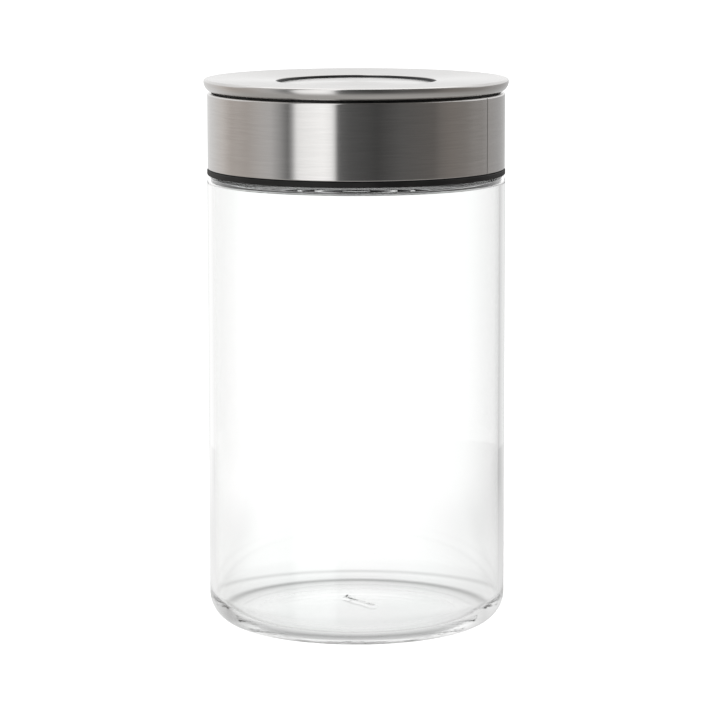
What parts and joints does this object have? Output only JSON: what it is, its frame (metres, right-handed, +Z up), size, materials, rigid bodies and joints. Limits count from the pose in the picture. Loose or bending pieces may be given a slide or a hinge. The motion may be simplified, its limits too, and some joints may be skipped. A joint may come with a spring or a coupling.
{
  "type": "lidded glass canister",
  "caption": "Straight-sided round glass storage jar with a brushed steel collar and a push-seal plug lid whose round centre button spreads a soft sleeve against the neck.",
  "frame": {"origin": "centre of the ring that the jar stands on, at the height of the table", "axes": "+Z up along the jar's axis, towards the lid; +X and +Y are level"},
  "size_m": [0.102, 0.102, 0.1842],
  "materials": {
    "glass": "clear blown glass, fire-polished",
    "band_steel": "stainless strip, fine brushing round the collar",
    "cover_steel": "stainless sheet, spun with fine circular brushing",
    "black_abs": "black moulded plastic, fine spark texture",
    "black_silicone": "black moulded silicone",
    "frosted_silicone": "translucent natural silicone",
    "white_acetal": "natural white acetal, satin",
    "plated_steel": "bright zinc-plated steel",
    "spring_steel": "drawn stainless spring wire"
  },
  "bodies": {
    "jar": {"glass_jar": "glass", "shoulder_gasket": "black_silicone", "collar_core": "black_abs", "collar_band": "band_steel", "seat_ring": "black_silicone"},
    "lid": {"lid_cover": "cover_steel", "lid_frame": "black_abs", "frame_screws": "plated_steel", "plug_shell": "black_abs", "plug_gasket": "frosted_silicone", "plug_floor": "black_abs", "floor_screws": "plated_steel", "latch_sleeve": "white_acetal", "sleeve_screw": "plated_steel", "return_spring": "spring_steel"},
    "button": {"button_cap": "cover_steel", "button_carrier": "black_abs", "spreader": "white_acetal", "stem": "plated_steel", "rotor_screw": "plated_steel"},
    "rotor": {"latch_rotor": "white_acetal"},
    "pusher_1": {"pusher_1": "white_acetal"},
    "pusher_2": {"pusher_2": "white_acetal"},
    "pusher_3": {"pusher_3": "white_acetal"},
    "pusher_4": {"pusher_4": "white_acetal"},
    "pusher_5": {"pusher_5": "white_acetal"},
    "pusher_6": {"pusher_6": "white_acetal"}
  },
  "joints": [
    {"name": "lid_lift", "type": "slide", "parent": "jar", "child": "lid", "axis": [0, 0, 1], "range_m": [0, 0.12]},
    {"name": "button_pop", "type": "slide", "parent": "lid", "child": "button", "axis": [0, 0, 1], "range_m": [0, 0.008], "deforming": ["return_spring"]},
    {"name": "rotor_index", "type": "hinge", "parent": "button", "child": "rotor", "pos_m": [0, 0, 0.16], "axis": [0, 0, 1], "range_deg": [0, 45]},
    {"name": "pusher_1_slide", "type": "slide", "parent": "lid", "child": "pusher_1", "axis": [-1, 0, 0], "range_m": [0, 0.0012]},
    {"name": "pusher_2_slide", "type": "slide", "parent": "lid", "child": "pusher_2", "axis": [-0.5, -0.866, 0], "range_m": [0, 0.0012]},
    {"name": "pusher_3_slide", "type": "slide", "parent": "lid", "child": "pusher_3", "axis": [0.5, -0.866, 0], "range_m": [0, 0.0012]},
    {"name": "pusher_4_slide", "type": "slide", "parent": "lid", "child": "pusher_4", "axis": [1, 0, 0], "range_m": [0, 0.0012]},
    {"name": "pusher_5_slide", "type": "slide", "parent": "lid", "child": "pusher_5", "axis": [0.5, 0.866, 0], "range_m": [0, 0.0012]},
    {"name": "pusher_6_slide", "type": "slide", "parent": "lid", "child": "pusher_6", "axis": [-0.5, 0.866, 0], "range_m": [0, 0.0012]}
  ],
  "couplings": [
    {"joint": "rotor_index", "follows": "button_pop", "rad_per_m": 98.17},
    {"joint": "pusher_1_slide", "follows": "button_pop", "ratio": 0.15},
    {"joint": "pusher_2_slide", "follows": "button_pop", "ratio": 0.15},
    {"joint": "pusher_3_slide", "follows": "button_pop", "ratio": 0.15},
    {"joint": "pusher_4_slide", "follows": "button_pop", "ratio": 0.15},
    {"joint": "pusher_5_slide", "follows": "button_pop", "ratio": 0.15},
    {"joint": "pusher_6_slide", "follows": "button_pop", "ratio": 0.15}
  ]
}
